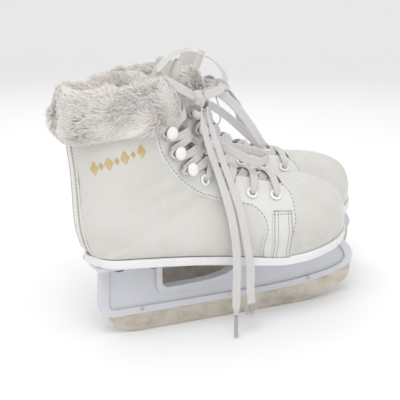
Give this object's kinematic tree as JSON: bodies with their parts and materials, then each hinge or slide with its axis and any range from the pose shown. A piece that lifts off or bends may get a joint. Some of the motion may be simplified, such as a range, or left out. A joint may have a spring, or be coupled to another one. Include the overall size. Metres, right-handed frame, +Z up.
{
  "type": "pair of ice skates",
  "caption": "Pair of white lace-up recreational ice skates with faux fur cuffs, plastic blade holders and plain steel blades.",
  "frame": {"origin": "centre of the pair's footprint box on the ground under the blades, free laces left out", "axes": "+X towards the toes, +Y towards the left skate, +Z up"},
  "size_m": [0.3296, 0.1912, 0.222],
  "materials": {
    "blade_steel": "ground and slightly tarnished",
    "pin_steel": "plain",
    "holder_plastic": "semi-gloss white with a cool cast",
    "screw_steel": "dark, lightly rusted",
    "sole_plastic": "semi-gloss white",
    "board": "fibre board",
    "footbed_fleece": "short pile",
    "leather": "smooth white synthetic leather",
    "trim_leather": "smooth white synthetic leather",
    "stiffener": "stiffened board",
    "lining_fleece": "brushed fleece",
    "tongue_leather": "padded white synthetic leather",
    "fur": "long faux fur",
    "eyelet_enamel": "white enamel",
    "hook_enamel": "glossy white enamel",
    "lace": "flat woven",
    "aglet": "grey sleeve"
  },
  "bodies": {
    "right_skate": {"right_blade": "blade_steel", "right_blade_pins": "pin_steel", "right_holder": "holder_plastic", "right_holder_screws": "screw_steel", "right_outsole": "sole_plastic", "right_insole_board": "board", "right_footbed": "footbed_fleece", "right_vamp": "leather", "right_quarter_outer": "leather", "right_quarter_inner": "leather", "right_backstay": "trim_leather", "right_eyestay_outer": "trim_leather", "right_eyestay_inner": "trim_leather", "right_front_panels": "trim_leather", "right_side_patches": "trim_leather", "right_heel_counter": "stiffener", "right_toe_puff": "stiffener", "right_lining": "lining_fleece", "right_tongue": "tongue_leather", "right_fur_collar": "fur", "right_eyelets": "eyelet_enamel", "right_hooks": "hook_enamel", "right_lace": "lace", "right_knot": "lace", "right_lace_loop_a": "lace", "right_lace_loop_b": "lace", "right_lace_loop_c": "lace", "right_lace_tail_a": "lace", "right_lace_tail_b": "lace", "right_aglet": "aglet"},
    "right_flap": {"right_tongue_flap": "tongue_leather"},
    "left_skate": {"left_blade": "blade_steel", "left_blade_pins": "pin_steel", "left_holder": "holder_plastic", "left_holder_screws": "screw_steel", "left_outsole": "sole_plastic", "left_insole_board": "board", "left_footbed": "footbed_fleece", "left_vamp": "leather", "left_quarter_outer": "leather", "left_quarter_inner": "leather", "left_backstay": "trim_leather", "left_eyestay_outer": "trim_leather", "left_eyestay_inner": "trim_leather", "left_front_panels": "trim_leather", "left_side_patches": "trim_leather", "left_heel_counter": "stiffener", "left_toe_puff": "stiffener", "left_lining": "lining_fleece", "left_tongue": "tongue_leather", "left_fur_collar": "fur", "left_eyelets": "eyelet_enamel", "left_hooks": "hook_enamel", "left_lace": "lace", "left_knot": "lace", "left_lace_loop_a": "lace", "left_lace_loop_b": "lace", "left_lace_tail_a": "lace", "left_aglet": "aglet"},
    "left_flap": {"left_tongue_flap": "tongue_leather"}
  },
  "joints": [
    {"name": "left_skate_slide", "type": "slide", "parent": "right_skate", "child": "left_skate", "axis": [0, 1, 0], "range_m": [0, 0.12]},
    {"name": "right_tongue_fold", "type": "hinge", "parent": "right_skate", "child": "right_flap", "pos_m": [-0.06971, -0.046, 0.1865], "axis": [0, 1, 0], "range_deg": [-30, 5]},
    {"name": "left_tongue_fold", "type": "hinge", "parent": "left_skate", "child": "left_flap", "pos_m": [-0.00771, 0.046, 0.1865], "axis": [0, 1, 0], "range_deg": [-30, 5]}
  ]
}
